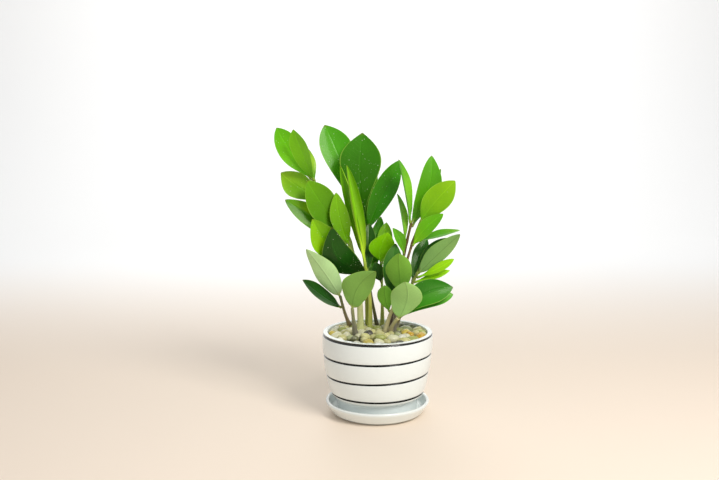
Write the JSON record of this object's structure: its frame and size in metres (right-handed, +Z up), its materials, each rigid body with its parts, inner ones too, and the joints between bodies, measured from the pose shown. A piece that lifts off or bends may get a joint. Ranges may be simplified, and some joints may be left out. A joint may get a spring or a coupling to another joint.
{
  "type": "potted zz plant",
  "caption": "Young zz plant with upright stems and glossy leaflets in a white glazed pot with dark lines, its soil topped with pebbles, standing in a matching saucer.",
  "frame": {"origin": "middle of the flat underside of the saucer, on the pot's axis", "axes": "+Z up along the pot's axis; the side that the plant is seen from looks along +Y, with +X to its right"},
  "size_m": [0.1989, 0.1196, 0.3097],
  "materials": {
    "glaze": "glossy white glaze with dark green-black lines",
    "leaf_lime": "waxy, glossy yellow-green leaflets",
    "leaf_green": "waxy, glossy green leaflets",
    "leaf_dark": "waxy, glossy dark green leaflets",
    "leaf_pale": "leaflets seen from their matt, pale underside",
    "stem": "smooth, satin, pale green to purple-brown",
    "rhizome": "matt tan skin",
    "soil": "matt, dark, crumbly",
    "pebble": "washed pebbles, satin, cream, yellow and white"
  },
  "bodies": {
    "root": {"saucer": "glaze", "pot": "glaze", "stem_left_low": "stem", "leaf_left_low_1": "leaf_pale", "leaf_left_low_2": "leaf_dark", "stem_front_left": "stem", "leaf_front_left_1": "leaf_pale", "stem_left_tall": "stem", "leaf_left_tall_1": "leaf_lime", "leaf_left_tall_2": "leaf_lime", "leaf_left_tall_3": "leaf_green", "leaf_left_tall_4": "leaf_lime", "leaf_left_tall_5": "leaf_lime", "leaf_left_tall_6": "leaf_lime", "leaf_left_tall_7": "leaf_lime", "leaf_left_tall_8": "leaf_lime", "stem_centre_tall": "stem", "leaf_centre_tall_1": "leaf_green", "leaf_centre_tall_2": "leaf_green", "leaf_centre_tall_3": "leaf_green", "leaf_centre_tall_4": "leaf_green", "leaf_centre_tall_5": "leaf_green", "stem_spear": "stem", "leaf_spear_1": "leaf_lime", "leaf_spear_2": "leaf_lime", "stem_mid_dark": "stem", "leaf_mid_dark_1": "leaf_dark", "leaf_mid_dark_2": "leaf_dark", "leaf_mid_dark_3": "leaf_green", "stem_mid_lime": "stem", "leaf_mid_lime_1": "leaf_lime", "leaf_mid_lime_2": "leaf_lime", "leaf_mid_lime_3": "leaf_dark", "stem_front_right": "stem", "leaf_front_right_1": "leaf_pale", "leaf_front_right_2": "leaf_pale", "leaf_front_right_3": "leaf_dark", "stem_front_round": "stem", "leaf_front_round_1": "leaf_pale", "leaf_front_round_2": "leaf_green", "leaf_front_round_3": "leaf_green", "stem_right_tall": "stem", "leaf_right_tall_1": "leaf_green", "leaf_right_tall_2": "leaf_lime", "leaf_right_tall_3": "leaf_lime", "leaf_right_tall_4": "leaf_lime", "leaf_right_tall_5": "leaf_green", "stem_right_twin": "stem", "leaf_right_twin_1": "leaf_lime", "leaf_right_twin_2": "leaf_lime", "leaf_right_twin_3": "leaf_green", "stem_right_low": "stem", "leaf_right_low_1": "leaf_pale", "leaf_right_low_2": "leaf_dark", "leaf_right_low_3": "leaf_dark", "leaf_right_low_4": "leaf_lime", "leaf_right_low_5": "leaf_lime", "rhizome": "rhizome", "soil": "soil", "pebbles": "pebble"}
  },
  "joints": []
}
